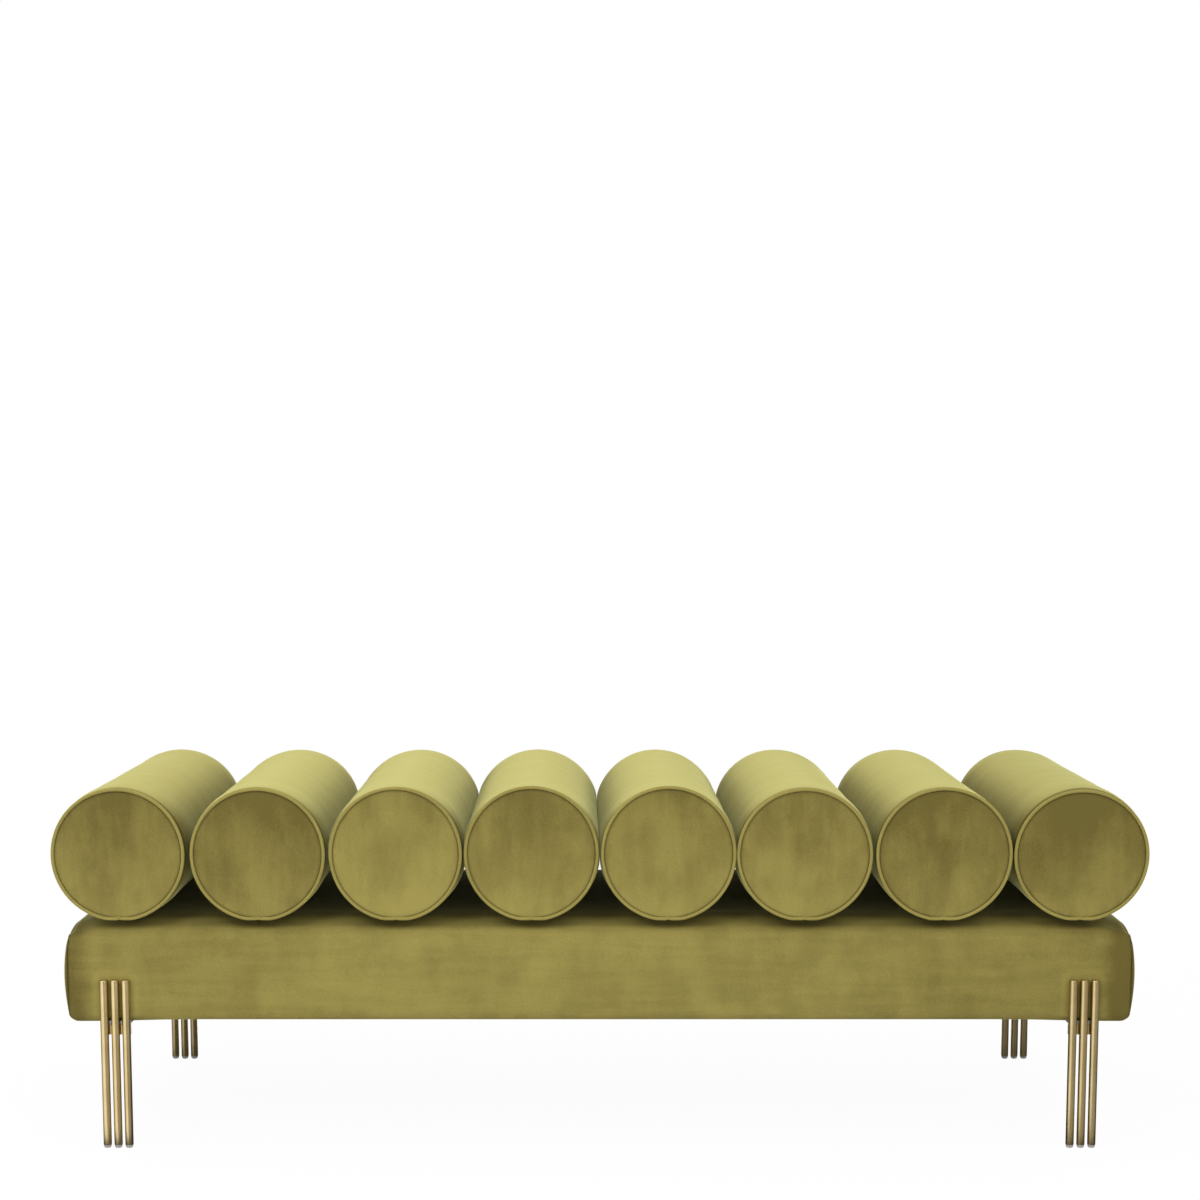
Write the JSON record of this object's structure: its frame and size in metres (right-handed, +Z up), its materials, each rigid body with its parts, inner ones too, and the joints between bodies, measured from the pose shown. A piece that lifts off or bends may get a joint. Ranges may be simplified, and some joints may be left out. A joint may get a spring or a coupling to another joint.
{
  "type": "backless divan",
  "caption": "Backless divan with a long velvet box base, a row of velvet bolster rolls as its seat, and slim brass rod legs.",
  "frame": {"origin": "on the floor, under the middle of the divan", "axes": "+X along the length to the right as seen from the front, +Y from the front to the back, +Z up"},
  "size_m": [1.597, 0.554, 0.5345],
  "materials": {
    "velvet": "short-pile olive green velvet",
    "brass": "satin",
    "timber": "planed softwood",
    "plywood": "birch plywood",
    "foam": "open-cell upholstery foam",
    "dust_cloth": "thin black non-woven cloth",
    "plate_steel": "satin",
    "screw_steel": "zinc plated",
    "glide_plastic": "matte"
  },
  "bodies": {
    "root": {"frame_rail_front": "timber", "frame_rail_back": "timber", "frame_rail_left": "timber", "frame_rail_right": "timber", "cross_rail_left": "timber", "cross_rail_middle": "timber", "cross_rail_right": "timber", "corner_blocks": "timber", "seat_deck": "plywood", "base_foam": "foam", "base_cover": "velvet", "end_panel_left": "velvet", "end_panel_right": "velvet", "dust_cover": "dust_cloth", "cover_staples": "screw_steel", "roll_cover_1": "velvet", "roll_foam_1": "foam", "roll_welts_1": "velvet", "roll_cover_2": "velvet", "roll_foam_2": "foam", "roll_welts_2": "velvet", "roll_cover_3": "velvet", "roll_foam_3": "foam", "roll_welts_3": "velvet", "roll_cover_4": "velvet", "roll_foam_4": "foam", "roll_welts_4": "velvet", "roll_cover_5": "velvet", "roll_foam_5": "foam", "roll_welts_5": "velvet", "roll_cover_6": "velvet", "roll_foam_6": "foam", "roll_welts_6": "velvet", "roll_cover_7": "velvet", "roll_foam_7": "foam", "roll_welts_7": "velvet", "roll_cover_8": "velvet", "roll_foam_8": "foam", "roll_welts_8": "velvet", "roll_slats": "timber", "roll_screws": "screw_steel", "leg_rods_front_left": "brass", "leg_bar_front_left": "brass", "leg_plate_front_left": "plate_steel", "leg_glides_front_left": "glide_plastic", "leg_rods_front_right": "brass", "leg_bar_front_right": "brass", "leg_plate_front_right": "plate_steel", "leg_glides_front_right": "glide_plastic", "leg_rods_back_left": "brass", "leg_bar_back_left": "brass", "leg_plate_back_left": "plate_steel", "leg_glides_back_left": "glide_plastic", "leg_rods_back_right": "brass", "leg_bar_back_right": "brass", "leg_plate_back_right": "plate_steel", "leg_glides_back_right": "glide_plastic", "leg_screws": "screw_steel"}
  },
  "joints": []
}
